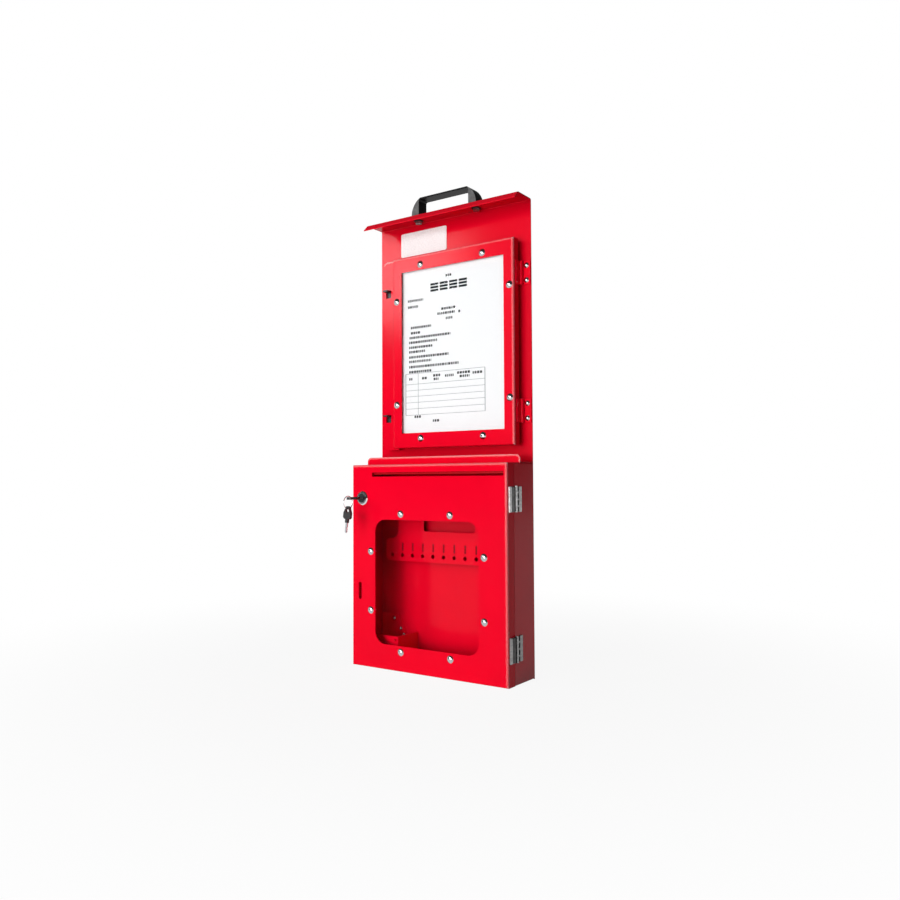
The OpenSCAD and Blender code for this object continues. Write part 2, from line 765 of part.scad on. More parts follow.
// The cabinet's leaf is cut away beside the knuckles of the door's leaf.
module dh_fixed(zc) {
  block([x_right, dh_y + dh_notch, zc - dh_h / 2],
        [x_right + dh_leaf_t, dh_y + dh_leaf_fixed, zc + dh_h / 2]);
  for (k = knuckles(3, dh_h, dh_fixed_k)) difference() {
    union() {
      translate([dh_x, dh_y, zc + k + dh_knuckle_gap])
        cylinder(r = dh_r, h = dh_fixed_k - 2 * dh_knuckle_gap);
      block([x_right + dh_pad_t, dh_y, zc + k + dh_knuckle_gap],
            [x_right + dh_leaf_t, dh_y + dh_notch + eps, zc + k + dh_fixed_k - dh_knuckle_gap]);
    }
    translate([dh_x, dh_y, zc + k]) cylinder(r = dh_pin_r + touch, h = dh_fixed_k);
  }
}

// Half-round rib on the door's leaf, with its middle at y.
module dh_rib(y, zc) {
  curve = (dh_rib_w * dh_rib_w / 4 + dh_rib_h * dh_rib_h) / (2 * dh_rib_h);
  face = x_right + dh_leaf_t;
  intersection() {
    translate([face + dh_rib_h - curve, y, zc - dh_h / 2 + 1]) cylinder(r = curve, h = dh_h - 2);
    block([face - 0.2, y - dh_rib_w / 2, zc - dh_h / 2 + 1],
          [face + dh_rib_h, y + dh_rib_w / 2, zc + dh_h / 2 - 1]);
  }
}

module dh_moving(zc) {
  low = zc - dh_h / 2;
  difference() {
    union() {
      translate([dh_x, dh_y, low]) cylinder(r = dh_r, h = dh_h);
      block([x_right, dh_y - dh_leaf_door, low], [x_right + dh_leaf_t, dh_y, low + dh_h]);
      for (y = dh_ribs) dh_rib(dh_y - dh_leaf_door + y, zc);
    }
    block([x_right - eps, y_door_rear, low - eps],
          [x_right + dh_wall_gap, dh_y + dh_r, low + dh_h + eps]);
    for (k = knuckles(3, dh_h, dh_fixed_k))
      block([x_right - eps, dh_y - dh_r - dh_wall_gap, zc + k],
            [dh_x + dh_r + eps, dh_y + dh_r + eps, zc + k + dh_fixed_k]);
    translate([dh_x, dh_y, low - eps]) cylinder(r = dh_pin_r + run_clear, h = dh_h + 2 * eps);
  }
}

module door_hinge_fixed_leaves() color("lightgray") { for (z = [dh_low, dh_high]) dh_fixed(z); }

module door_hinge_door_leaves() color("lightgray") { for (z = [dh_low, dh_high]) dh_moving(z); }

module door_hinge_pads() color("black") {
  for (z = [dh_low, dh_high])
    block([x_right, y_shell_front + rest_gap, z - dh_h / 2 + rest_gap],
          [x_right + dh_pad_t, dh_y + dh_notch, z + dh_h / 2 - rest_gap]);
}

module door_hinge_pins() color("silver") {
  for (z = [dh_low, dh_high]) {
    translate([dh_x, dh_y, z - dh_h / 2]) cylinder(r = dh_pin_r, h = dh_h + 0.4);
    translate([dh_x, dh_y, z + dh_h / 2 + 0.2]) cylinder(r = dh_r - 0.3, h = 1.2);
  }
}

module fh_fixed(zc) {
  block([fh_x + fh_r + 0.3, y_board - fh_leaf_t, zc - fh_h / 2],
        [x_right - fh_board_edge, y_board, zc + fh_h / 2]);
  for (k = knuckles(2, fh_h, fh_fixed_k)) difference() {
    union() {
      translate([fh_x, fh_y, zc + k + knuckle_gap])
        cylinder(r = fh_r, h = fh_fixed_k - 2 * knuckle_gap, $fn = small_fn);
      block([fh_x, y_board - fh_leaf_t, zc + k + knuckle_gap],
            [fh_x + fh_r + 0.3 + eps, y_board, zc + k + fh_fixed_k - knuckle_gap]);
    }
    translate([fh_x, fh_y, zc + k]) cylinder(r = fh_pin_r + touch, h = fh_fixed_k, $fn = small_fn);
  }
}

module frame_hinge_fixed_leaves() color("red") {
  difference() {
    union() for (z = hinge_heights()) fh_fixed(z);
    for (z = hinge_heights(), s = [-1, 1])
      rod_y(fh_screw_x, y_board - fh_leaf_t - eps, z + s * fh_screw_gap / 2,
            screw_d / 2 + screw_clear, fh_leaf_t + 2 * eps);
  }
}

module fh_moving(zc) {
  difference() {
    union() {
      translate([fh_x, fh_y, zc - fh_h / 2]) cylinder(r = fh_r, h = fh_h, $fn = small_fn);
      block([frame_right, fh_y - fh_leaf_side, zc - fh_h / 2],
            [frame_right + fh_leaf_t, fh_y, zc + fh_h / 2]);
    }
    for (k = knuckles(2, fh_h, fh_fixed_k))
      block([frame_right - eps, fh_y - fh_r - 0.3, zc + k],
            [fh_x + fh_r + eps, fh_y + fh_r + eps, zc + k + fh_fixed_k]);
    translate([fh_x, fh_y, zc - fh_h / 2 - eps])
      cylinder(r = fh_pin_r + run_clear, h = fh_h + 2 * eps, $fn = small_fn);
  }
}

module frame_hinge_cover_leaves() color("red") { for (z = hinge_heights()) fh_moving(z); }

module frame_hinge_pins() color("silver") {
  for (z = hinge_heights()) translate([fh_x, fh_y, z - fh_h / 2])
    cylinder(r = fh_pin_r, h = fh_h + 0.3, $fn = small_fn);
}

module frame_hinge_screws() color("gainsboro") {
  for (z = hinge_heights(), s = [-1, 1]) {
    dome_head(fh_screw_x, y_board - fh_leaf_t, z + s * fh_screw_gap / 2, fh_head_d, fh_head_h);
    rod_y(fh_screw_x, y_board - fh_leaf_t - 0.2, z + s * fh_screw_gap / 2, screw_d / 2, fh_leaf_t + 0.2);
  }
}

// ---------------------------------------------------------------- permit frame

module flange_cutouts() {
  for (z = hinge_heights())
    translate([staple_x - staple_w / 2 - staple_gap, z + staple_z_up + staple_gap - staple_cut_h])
      square([staple_w + 2 * staple_gap, staple_cut_h]);
}

module frame_cover() color("tomato") {
  difference() {
    union() {
      folded_box([frame_left, y_cover, frame_z - frame_h / 2],
                 [frame_right, y_cover_rear, frame_z + frame_h / 2], fold_r);
      plate_xz(y_flange, sheet) difference() {
        translate([(flange_left + frame_left) / 2 + flange_r, frame_z])
          rounded_rect(flange_w + 2 * flange_r, frame_h + 2 * flange_over, flange_r);
        translate([frame_left + sheet, 0]) square([3 * flange_r, 2 * frame_z]);
        flange_cutouts();
      }
    }
    folded_box([frame_left + sheet, y_cover_in, frame_z - frame_h / 2 + sheet],
               [frame_right - sheet, y_cover_rear + eps, frame_z + frame_h / 2 - sheet],
               fold_r - sheet);
    block([frame_x - open_w / 2, y_cover - eps, frame_z - open_h / 2],
          [frame_x + open_w / 2, y_cover_in + eps, frame_z + open_h / 2]);
    for (p = frame_points())
      rod_y(p[0], y_cover - eps, p[1], screw_d / 2 + screw_clear, sheet + 2 * eps);
  }
}

module frame_pane() color("lightcyan") {
  difference() {
    plate_xz(y_cover_in, cover_pane_t) translate([frame_x, frame_z])
      square([frame_w - 2 * sheet - 2, frame_h - 2 * sheet - 2], center = true);
    for (p = frame_points())
      rod_y(p[0], y_cover_in - eps, p[1], screw_d / 2 + screw_clear, cover_pane_t + 2 * eps);
  }
}

module frame_screws() color("gainsboro") {
  grip = sheet + cover_pane_t + frame_nut_h + frame_screw_tip;
  for (p = frame_points()) dome_screw(p[0], y_cover, p[1], grip);
}

module frame_nuts() color("silver") {
  for (p = frame_points()) hex_nut(p[0], y_cover_pane, p[1], nut_af, frame_nut_h, screw_d / 2 + touch);
}

module frame_base() color("firebrick") {
  w = frame_right - base_recess - flange_left - 2;
  xc = (frame_right - base_recess + flange_left + 2) / 2;
  difference() {
    plate_xz(y_base, base_d) translate([xc, frame_z]) rounded_rect(w, frame_h, flange_r);
    plate_xz(y_base + sheet, base_d) translate([xc, frame_z])
      rounded_rect(w - 2 * sheet, frame_h - 2 * sheet, flange_r - sheet);
    plate_xz(y_base - eps, sheet + 2 * eps) flange_cutouts();
  }
}

module document_panel() color("white") {
  plate_xz(panel_front, y_base - panel_front) translate([frame_x, frame_z]) difference() {
    square([panel_w, panel_h], center = true);
    square([panel_w - 2 * panel_rim, panel_h - 2 * panel_rim], center = true);
  }
  plate_xz(panel_front, panel_t) translate([frame_x, frame_z]) square([panel_w, panel_h], center = true);
}

module permit_sheet() color("white") {
  plate_xz(panel_front - sheet_t, sheet_t) translate([frame_x, frame_z])
    square([sheet_w, sheet_h], center = true);
}

module sheet_magnets() color("dimgray") {
  for (sx = [-1, 1], sz = [-1, 1])
    rod_y(frame_x + sx * magnet_off, panel_front - sheet_t - magnet_h,
          frame_z + sz * (sheet_h / 2 - magnet_in), magnet_d / 2, magnet_h);
}

module lock_staples() color("black") {
  for (z = hinge_heights()) {
    top = z + staple_z_up;
    difference() {
      block([staple_x - staple_w / 2, y_flange - staple_out, top - staple_t],
            [staple_x + staple_w / 2, y_base + 3, top]);
      translate([staple_x, y_flange - staple_out + 5, top - staple_t - eps])
        cylinder(d = staple_hole_d, h = staple_t + 2 * eps);
    }
    block([staple_x - staple_w / 2 - 1, y_base + sheet, top - staple_cut_h - 3],
          [staple_x + staple_w / 2 + 6, y_base + sheet + 2, top]);
    block([staple_x - staple_w / 2 - 1, y_base + sheet, top - staple_cut_h - 3],
          [staple_x + staple_w / 2 + 6, y_board, top - staple_cut_h - 1]);
  }
}

// ---------------------------------------------------------------- handle and label

module handle_profile() {
  opening = handle_room - 2 * handle_inner_r;
  top = handle_h - handle_t;
  difference() {
    intersection() {
      translate([-handle_span, 0]) square([2 * handle_span, handle_h]);
      union() {
        translate([-handle_curve_x, 0]) square([2 * handle_curve_x, handle_h]);
        for (s = [-1, 1]) translate([s * handle_curve_x, handle_curve_z]) circle(handle_r);
      }
    }
    translate([-opening / 2, -eps]) square([opening, top + eps]);
    translate([-handle_room / 2, -eps]) square([handle_room, top - handle_inner_r + eps]);
    for (s = [-1, 1]) translate([s * opening / 2, top - handle_inner_r]) circle(handle_inner_r);
  }
}

module carry_handle() color("black") {
  difference() {
    translate([0, handle_y + handle_d / 2, board_h]) rotate([90, 0, 0])
      linear_extrude(handle_d) handle_profile();
    for (s = [-1, 1]) translate([s * handle_span / 2, handle_y, board_h - eps])
      cylinder(r = bolt_r + touch, h = bolt_bore);
  }
}

module handle_bolts() color("silver") {
  for (s = [-1, 1]) translate([s * handle_span / 2, handle_y, canopy_z0 - washer_t - bolt_head_h]) {
    cylinder(d = bolt_head_af / cos(30), h = bolt_head_h, $fn = 6);
    cylinder(r = bolt_r, h = bolt_head_h + washer_t + sheet + bolt_grip);
  }
}

module handle_washers() color("silver") {
  for (s = [-1, 1]) translate([s * handle_span / 2, handle_y, canopy_z0 - washer_t]) difference() {
    cylinder(r = washer_r, h = washer_t);
    translate([0, 0, -eps]) cylinder(r = bolt_r + touch, h = washer_t + 2 * eps);
  }
}

module label_plate() color("whitesmoke") {
  plate_xz(y_board - 0.8, 0.8)
    translate([x_left + label_in + label_w / 2, board_h - label_down - label_h / 2])
      rounded_rect(label_w, label_h, 3);
}

// ---------------------------------------------------------------- rack and bin

module rack_outline() {
  c = rack_curve;
  step = (rack_w - rack_neck) / 2;
  shoulder = rack_z + 26;
  // Wide lower part with round corners, neck above it.
  translate([0, (rack_z + shoulder + 12) / 2]) rounded_rect(rack_w, shoulder + 12 - rack_z, rack_corner);
  translate([-rack_neck / 2, shoulder]) square([rack_neck, rack_top - shoulder]);
  // The shoulder: a fillet out of the neck on each side.
  for (s = [-1, 1]) translate([s * rack_neck / 2, shoulder + 12 - eps]) difference() {
    translate([s > 0 ? 0 : -c, 0]) square([c, c]);
    translate([s * c, c]) circle(c);
  }
}

module key_rack() color("red") {
  difference() {
    plate_xz(y_rack, sheet) difference() {
      rack_outline();
      translate([0, hand_z + hand_h / 2]) rounded_rect(hand_l, hand_h, 4);
    }
    for (x = odd_row(rack_n, rack_pitch))
      rod_y(x, y_rack - eps, rack_z + rack_hole_up, rack_hole_d / 2, sheet + 2 * eps);
    for (s = [-1, 1])
      rod_y(s * spacer_x, y_rack - eps, spacer_z, screw_d / 2 + screw_clear, sheet + 2 * eps);
  }
  block([-rack_w / 2 + rack_corner, y_rack, rack_z],
        [rack_w / 2 - rack_corner, y_rack + 7, rack_z + sheet]);
}

module rack_spacers() color("silver") {
  for (s = [-1, 1]) difference() {
    rod_y(s * spacer_x, y_rack + sheet, spacer_z, 5, rack_off - sheet);
    rod_y(s * spacer_x, y_rack + sheet - eps, spacer_z, screw_d / 2 + touch, rack_off);
  }
}

module rack_screws() color("gainsboro") {
  for (s = [-1, 1]) dome_screw(s * spacer_x, y_rack, spacer_z, rack_off);
}

module key_bin() color("red") {
  difference() {
    block([bin_x0, y_bin, bin_z], [bin_x1, y_bin + bin_t, bin_top]);
    rod_y(bin_x1 - bin_hole_in, y_bin - eps, bin_top - bin_hole_in, bin_hole_r, bin_t + 2 * eps);
  }
  block([bin_x1 - bin_t, y_bin, bin_z], [bin_x1, y_shell_in, bin_top]);
  difference() {
    plate_xz(y_shell_in - bin_t, bin_t) polygon([
      [bin_x0, bin_z], [bin_x1, bin_z], [bin_x1, bin_z + 0.29 * bin_h],
      [bin_x0 + 0.68 * bin_w, bin_z + 0.91 * bin_h],
      [bin_x0 + 0.47 * bin_w, bin_z + 1.57 * bin_h], [bin_x0, bin_z + 1.57 * bin_h]]);
    for (p = wall_points()) rod_y(p[0], y_shell_in - bin_t - eps, p[1], wall_hole_d / 2, bin_t + 2 * eps);
    for (p = bin_back_screws)
      rod_y(bin_x0 + p[0], y_shell_in - bin_t - eps, bin_z + p[1],
            screw_d / 2 + screw_clear, bin_t + 2 * eps);
  }
}

module bin_screws() color("gainsboro") {
  for (p = bin_back_screws) {
    dome_head(bin_x0 + p[0], y_shell_in - bin_t, bin_z + p[1], bin_head_d, bin_head_h);
    rod_y(bin_x0 + p[0], y_shell_in - bin_t - eps, bin_z + p[1], screw_d / 2, bin_t + eps);
  }
}

cabinet_shell();
back_board();
board_rivets();
top_tray();
cabinet_door();
slot_baffle();
window_gasket();
door_window();
window_screws();
window_nuts();
lock_housing();
lock_nut();
lock_plug();
lock_cam();
cam_bolt();
key_blade();
key_head();
key_ring();
spare_key_blade();
spare_key_head();
door_hinge_fixed_leaves();
door_hinge_door_leaves();
door_hinge_pins();
door_hinge_pads();
frame_hinge_fixed_leaves();
frame_hinge_cover_leaves();
frame_hinge_pins();
frame_hinge_screws();
frame_cover();
frame_pane();
frame_screws();
frame_nuts();
frame_base();
document_panel();
permit_sheet();
sheet_magnets();
lock_staples();
carry_handle();
handle_bolts();
handle_washers();
label_plate();
key_rack();
rack_spacers();
rack_screws();
key_bin();
bin_screws();
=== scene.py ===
"""Lockout station: finishes, printed sheet, rack marks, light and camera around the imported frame.

Everything is in metres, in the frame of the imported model: +X right, -Y front, +Z up.
"""
import json
import math
import random

import bmesh
import bpy
from mathutils import Matrix, Vector
from mathutils.bvhtree import BVHTree


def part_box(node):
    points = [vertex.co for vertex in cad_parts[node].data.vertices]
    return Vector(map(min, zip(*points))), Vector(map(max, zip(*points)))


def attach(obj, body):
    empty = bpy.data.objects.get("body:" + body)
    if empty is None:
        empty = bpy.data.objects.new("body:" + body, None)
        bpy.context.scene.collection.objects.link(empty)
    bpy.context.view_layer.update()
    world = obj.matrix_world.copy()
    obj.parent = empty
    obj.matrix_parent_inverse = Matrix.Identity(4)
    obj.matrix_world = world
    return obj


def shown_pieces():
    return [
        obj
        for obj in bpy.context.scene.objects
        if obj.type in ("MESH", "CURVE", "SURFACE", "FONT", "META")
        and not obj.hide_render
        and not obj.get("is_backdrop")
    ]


MM = 0.001
IMAGE = 900

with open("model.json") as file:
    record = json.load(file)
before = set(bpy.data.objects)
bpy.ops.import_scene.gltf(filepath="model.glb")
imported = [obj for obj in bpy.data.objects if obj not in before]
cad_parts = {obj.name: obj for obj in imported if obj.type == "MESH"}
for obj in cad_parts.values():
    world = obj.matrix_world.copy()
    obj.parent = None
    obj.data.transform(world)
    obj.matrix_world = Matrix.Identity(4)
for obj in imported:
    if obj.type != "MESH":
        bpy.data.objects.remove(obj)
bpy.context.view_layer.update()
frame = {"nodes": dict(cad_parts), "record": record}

# ------------------------------------------------------------------ camera

CAMERA_AT = Vector((0.7750, -1.0930, 0.3043))
AZIMUTH = 34.6
LOOKS_UP = 2.14
ROLL = -0.26
LENS = 33.19
SENSOR = 36.0

# Image points, in the photograph's 900 x 900 frame.
POINTS = {
    "object_left": (345.0, None),
    "object_right": (535.3, None),
    "object_top": (None, 186.0),
    "object_bottom": (None, 690.0),
    "door_top_left": (353.6, 465.1),
    "door_top_right": (507.0, 462.2),
    "door_bottom_left": (351.75, 664.5),
    "door_bottom_right": (508.0, 690.0),
    "label_top_left": (401.3, 235.2),
    "label_bottom_right": (446.6, 249.3),
    "cover_top_left": (392.4, 260.5),
    "cover_top_right": (512.6, 237.3),
    "cover_bottom_right": (514.7, 444.4),
    "canopy_left": (368.7, 226.0),
    "canopy_right": (516.9, 191.2),
    "lock": (362.9, 498.2),
    "first_rack_mark": (402.8, 547.4),
    "last_rack_mark": (476.3, 549.6),
}


def make_camera():
    a, e, r = (math.radians(v) for v in (AZIMUTH, -LOOKS_UP, ROLL))
    back = Vector((math.sin(a) * math.cos(e), -math.cos(a) * math.cos(e), math.sin(e)))
    level = Vector((math.cos(a), math.sin(a), 0))
    upright = back.cross(level)
    right = math.cos(r) * level + math.sin(r) * upright
    up = math.cos(r) * upright - math.sin(r) * level
    data = bpy.data.cameras.new("camera")
    data.lens = LENS
    data.sensor_width = SENSOR
    data.sensor_fit = "AUTO"
    data.clip_start = 0.01
    camera = bpy.data.objects.new("camera", data)
    camera.matrix_world = Matrix((right, up, back)).transposed().to_4x4()
    camera.matrix_world.translation = CAMERA_AT
    bpy.context.collection.objects.link(camera)
    bpy.context.scene.camera = camera
    return camera


camera = make_camera()


def seen_at(place):
    """Where a place in the model's frame shows, in the photograph's frame."""
    local = camera.matrix_world.inverted() @ Vector(place)
    scale = LENS / SENSOR * IMAGE / -local.z
    return IMAGE / 2 + local.x * scale, IMAGE / 2 - local.y * scale


def on_surface(point, carrier):
    """The place where the ray through an image point meets a piece, or the piece's place nearest the ray."""
    x, y = point
    ray = Vector((x - IMAGE / 2, IMAGE / 2 - y, -IMAGE * LENS / SENSOR))
    start = camera.matrix_world.translation
    way = (camera.matrix_world.to_3x3() @ ray).normalized()
    shape = carrier.evaluated_get(bpy.context.evaluated_depsgraph_get())
    tree = BVHTree.FromObject(carrier, bpy.context.evaluated_depsgraph_get())
    hit = tree.ray_cast(start, way)[0]
    if hit is not None:
        return hit
    corners = [shape.matrix_world @ v.co for v in shape.data.vertices]
    return min(corners, key=lambda c: (c - start - way * (c - start).dot(way)).length)


# ------------------------------------------------------------------ materials

def shader(name, color, roughness, metallic=0.0, specular=0.5):
    mat = bpy.data.materials.new(name)
    mat.use_nodes = True
    nodes = mat.node_tree.nodes
    bsdf = nodes["Principled BSDF"]
    bsdf.inputs["Base Color"].default_value = (*color, 1)
    bsdf.inputs["Roughness"].default_value = roughness
    bsdf.inputs["Metallic"].default_value = metallic
    bsdf.inputs["Specular IOR Level"].default_value = specular
    return mat, nodes, mat.node_tree.links, bsdf


def noise(nodes, links, scale, detail=3.0, stretch=(1, 1, 1)):
    """Noise in the model's frame; scale is waves per metre."""
    where = nodes.new("ShaderNodeTexCoord")
    mapping = nodes.new("ShaderNodeMapping")
    mapping.inputs["Scale"].default_value = stretch
    tex = nodes.new("ShaderNodeTexNoise")
    tex.inputs["Scale"].default_value = scale
    tex.inputs["Detail"].default_value = detail
    links.new(where.outputs["Object"], mapping.inputs["Vector"])
    links.new(mapping.outputs["Vector"], tex.inputs["Vector"])
    return tex.outputs["Fac"]


def spread(nodes, links, value, low, high, start=0.3, end=0.7):
    """Maps a noise value from start..end to low..high."""
    node = nodes.new("ShaderNodeMapRange")
    node.inputs["From Min"].default_value = start
    node.inputs["From Max"].default_value = end
    node.inputs["To Min"].default_value = low
    node.inputs["To Max"].default_value = high
    links.new(value, node.inputs["Value"])
    return node.outputs["Result"]


def blend_color(nodes, links, factor, low, high):
    node = nodes.new("ShaderNodeMix")
    node.data_type = "RGBA"
    node.inputs["A"].default_value = (*low, 1)
    node.inputs["B"].default_value = (*high, 1)
    links.new(factor, node.inputs["Factor"])
    return node.outputs["Result"]


def bump(nodes, links, bsdf, height, strength, distance):
    node = nodes.new("ShaderNodeBump")
    node.inputs["Strength"].default_value = strength
    node.inputs["Distance"].default_value = distance
    links.new(height, node.inputs["Height"])
    links.new(node.outputs["Normal"], bsdf.inputs["Normal"])


def math_node(nodes, links, operation, a, b):
    """A number worked out from two others, each a socket or a plain value."""
    node = nodes.new("ShaderNodeMath")
    node.operation = operation
    for socket, value in zip(node.inputs, (a, b)):
        if isinstance(value, (int, float)):
            socket.default_value = value
        else:
            links.new(value, socket)
    return node.outputs["Value"]


def dot(nodes, links, direction, other):
    node = nodes.new("ShaderNodeVectorMath")
    node.operation = "DOT_PRODUCT"
    links.new(direction, node.inputs[0])
    if isinstance(other, tuple):
        node.inputs[1].default_value = other
    else:
        links.new(other, node.inputs[1])
    return node.outputs["Value"]


def tinted(nodes, links, base, color, factor):
    node = nodes.new("ShaderNodeMix")
    node.data_type = "RGBA"
    node.inputs["B"].default_value = (*color, 1)
    links.new(base, node.inputs["A"])
    links.new(factor, node.inputs["Factor"])
    return node.outputs["Result"]


COAT_GLOSS = 0.12
DOOR_GLOSS = 0.05
COAT_DRIFT = 0.94       # the darkest part of the coat's slow drift, as a share of its colour
RECESS = 0.06           # how far away a wall still casts the painted shade in a recess, in metres
PAINTED_SHADE_COLOR = 0.15     # the coat's colour under full painted shade in a recess, as a share of its colour
PAINTED_SHADE_FROM = 0.25      # how much of the surroundings a recess still sees where the painted shade is full
# The painted highlight along the coat's folds: the radius over which a fold is found, how far it turns the
# coat towards white, and the bevel samples.
FOLD_RADIUS = 5.0 * MM
FOLD_HIGHLIGHT = 0.45
FOLD_SAMPLES = 6
# Cosines between which each of these grows from none to full.
FOLD_BENT = (0.93, 0.995)
FOLD_SIDE = (0.12, 0.4)
FOLD_FRONT = (0.05, 0.25)


def fold_highlight_mask(nodes, links, high):
    """Mask of the painted highlight: 1 along a node's front folds at its right and top, 0 elsewhere; high is
    its box's upper corner.
    """
    turned = nodes.new("ShaderNodeBevel")
    turned.samples = FOLD_SAMPLES
    turned.inputs["Radius"].default_value = FOLD_RADIUS
    flat = nodes.new("ShaderNodeNewGeometry")
    normal = turned.outputs["Normal"]
    straight = dot(nodes, links, normal, flat.outputs["True Normal"])
    near = spread(nodes, links, straight, 1, 0, *FOLD_BENT)
    where = nodes.new("ShaderNodeTexCoord").outputs["Object"]
    rims = []
    for axis, edge in (((1, 0, 0), high[0]), ((0, 0, 1), high[2])):
        facing = spread(nodes, links, dot(nodes, links, normal, axis), 0, 1, *FOLD_SIDE)
        outer = spread(nodes, links, dot(nodes, links, where, axis), 0, 1, edge - 1.5 * FOLD_RADIUS,
                       edge - FOLD_RADIUS)
        rims.append(math_node(nodes, links, "MULTIPLY", facing, outer))
    front = spread(nodes, links, dot(nodes, links, normal, (0, -1, 0)), 0, 1, *FOLD_FRONT)
    near = math_node(nodes, links, "MULTIPLY", near, front)
    return math_node(nodes, links, "MULTIPLY", near, math_node(nodes, links, "MAXIMUM", *rims))


def powder_coat(name, color, roughness, shade=0.0, gloss=COAT_GLOSS, rim=None):
    """Glossy powder coat: even colour, faint drift, orange peel. Where shade is set, painted shade darkens
    it in recesses; where rim names a node, a painted highlight makes it paler along its right and top front
    folds."""
    mat, nodes, links, bsdf = shader(name, color, roughness, specular=gloss)
    darker = tuple(COAT_DRIFT * c for c in color)
    # Colour of the painted highlight along the folds.
    paler = tuple(c + FOLD_HIGHLIGHT * (1 - c) for c in color)
    drift = noise(nodes, links, 14, 2)
    mixed = blend_color(nodes, links, spread(nodes, links, drift, 0, 1), darker, color)
    # Painted shade: darker in recesses, found by ambient occlusion.
    if shade:
        recess = nodes.new("ShaderNodeAmbientOcclusion")
        recess.inputs["Distance"].default_value = RECESS
        deep = spread(nodes, links, recess.outputs["AO"], shade, 0, PAINTED_SHADE_FROM, 1)
        mixed = tinted(nodes, links, mixed, tuple(PAINTED_SHADE_COLOR * c for c in color), deep)
    # Painted highlight along the folds.
    if rim:
        mixed = tinted(nodes, links, mixed, paler, fold_highlight_mask(nodes, links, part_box(rim)[1]))
    links.new(mixed, bsdf.inputs["Base Color"])
    peel = noise(nodes, links, 520, 2)
    links.new(spread(nodes, links, peel, roughness - 0.03, roughness + 0.04), bsdf.inputs["Roughness"])
    bump(nodes, links, bsdf, peel, 0.10, 0.0002)
    return mat


def metal(name, color, roughness, stretch=(1, 1, 1), scale=1500, depth=0.05):
    """Bare or plated metal with fine marks; stretch draws them out along an axis."""
    mat, nodes, links, bsdf = shader(name, color, roughness, metallic=1.0)
    marks = noise(nodes, links, scale, 4, stretch)
    links.new(spread(nodes, links, marks, roughness * 0.75, roughness * 1.35), bsdf.inputs["Roughness"])
    darker = tuple(0.82 * c for c in color)
    links.new(blend_color(nodes, links, spread(nodes, links, marks, 0, 1), darker, color),
              bsdf.inputs["Base Color"])
    bump(nodes, links, bsdf, marks, depth, 0.0001)
    return mat


def plastic(name, color, roughness, grain=1100, depth=0.12, specular=0.5):
    """Moulded plastic or rubber with a fine grain."""
    mat, nodes, links, bsdf = shader(name, color, roughness, specular=specular)
    texture = noise(nodes, links, grain, 3)
    lighter = tuple(min(1, 1.3 * c + 0.002) for c in color)
    links.new(blend_color(nodes, links, spread(nodes, links, texture, 0, 1), color, lighter),
              bsdf.inputs["Base Color"])
    links.new(spread(nodes, links, texture, roughness - 0.05, roughness + 0.05), bsdf.inputs["Roughness"])
    bump(nodes, links, bsdf, texture, depth, 0.0001)
    return mat


CLEAR_GLOSS = 1.05      # refractive index that sets how strongly the panes reflect


def clear_sheet(name):
    """Clear plastic: light passes straight through, and only the gloss shows."""
    mat, nodes, links, bsdf = shader(name, (1, 1, 1), 0.04)
    haze = noise(nodes, links, 30, 2)
    clear = nodes.new("ShaderNodeBsdfTransparent")
    fresnel = nodes.new("ShaderNodeFresnel")
    fresnel.inputs["IOR"].default_value = CLEAR_GLOSS
    mix = nodes.new("ShaderNodeMixShader")
    output = nodes["Material Output"]
    gloss = nodes.new("ShaderNodeBsdfGlossy")
    gloss.inputs["Color"].default_value = (1, 1, 1, 1)
    links.new(spread(nodes, links, haze, 0.03, 0.07), gloss.inputs["Roughness"])
    links.new(fresnel.outputs["Fac"], mix.inputs["Fac"])
    links.new(clear.outputs["BSDF"], mix.inputs[1])
    links.new(gloss.outputs["BSDF"], mix.inputs[2])
    links.new(mix.outputs["Shader"], output.inputs["Surface"])
    nodes.remove(bsdf)
    return mat


def paper(name, color):
    mat, nodes, links, bsdf = shader(name, color, 0.75, specular=0.3)
    fibre = noise(nodes, links, 900, 5)
    paler = tuple(min(1, 1.03 * c) for c in color)
    links.new(blend_color(nodes, links, spread(nodes, links, fibre, 0, 1), color, paler),
              bsdf.inputs["Base Color"])
    bump(nodes, links, bsdf, fibre, 0.06, 0.0001)
    return mat


GRIP_HALF = 49 * MM
STRAP_BLACK = (0.004, 0.004, 0.005)
SHEEN_GREY = (0.17, 0.17, 0.17)


def handle_coat(name):
    """Black strap of the carry handle, with a painted grey sheen on the front faces of its two legs."""
    mat, nodes, links, bsdf = shader(name, STRAP_BLACK, 0.45, specular=0.12)
    where = nodes.new("ShaderNodeTexCoord")
    split = nodes.new("ShaderNodeSeparateXYZ")
    links.new(where.outputs["Object"], split.inputs["Vector"])
    flat = nodes.new("ShaderNodeNewGeometry")
    # Painted sheen: lighter grey on the faces that look to the front, on the legs only, broken up by noise.
    front = spread(nodes, links, dot(nodes, links, flat.outputs["True Normal"], (0, -1, 0)), 0, 1, 0.5, 0.8)
    across = math_node(nodes, links, "ABSOLUTE", split.outputs["X"], 0)
    leg = spread(nodes, links, across, 0, 1, GRIP_HALF - MM, GRIP_HALF + MM)
    sheen_breakup = noise(nodes, links, 260, 4)
    sheen_mask = math_node(nodes, links, "MULTIPLY", math_node(nodes, links, "MULTIPLY", front, leg),
                     spread(nodes, links, sheen_breakup, 0.6, 1))
    links.new(blend_color(nodes, links, sheen_mask, STRAP_BLACK, SHEEN_GREY), bsdf.inputs["Base Color"])
    bump(nodes, links, bsdf, sheen_breakup, 0.1, 0.0002)
    return mat


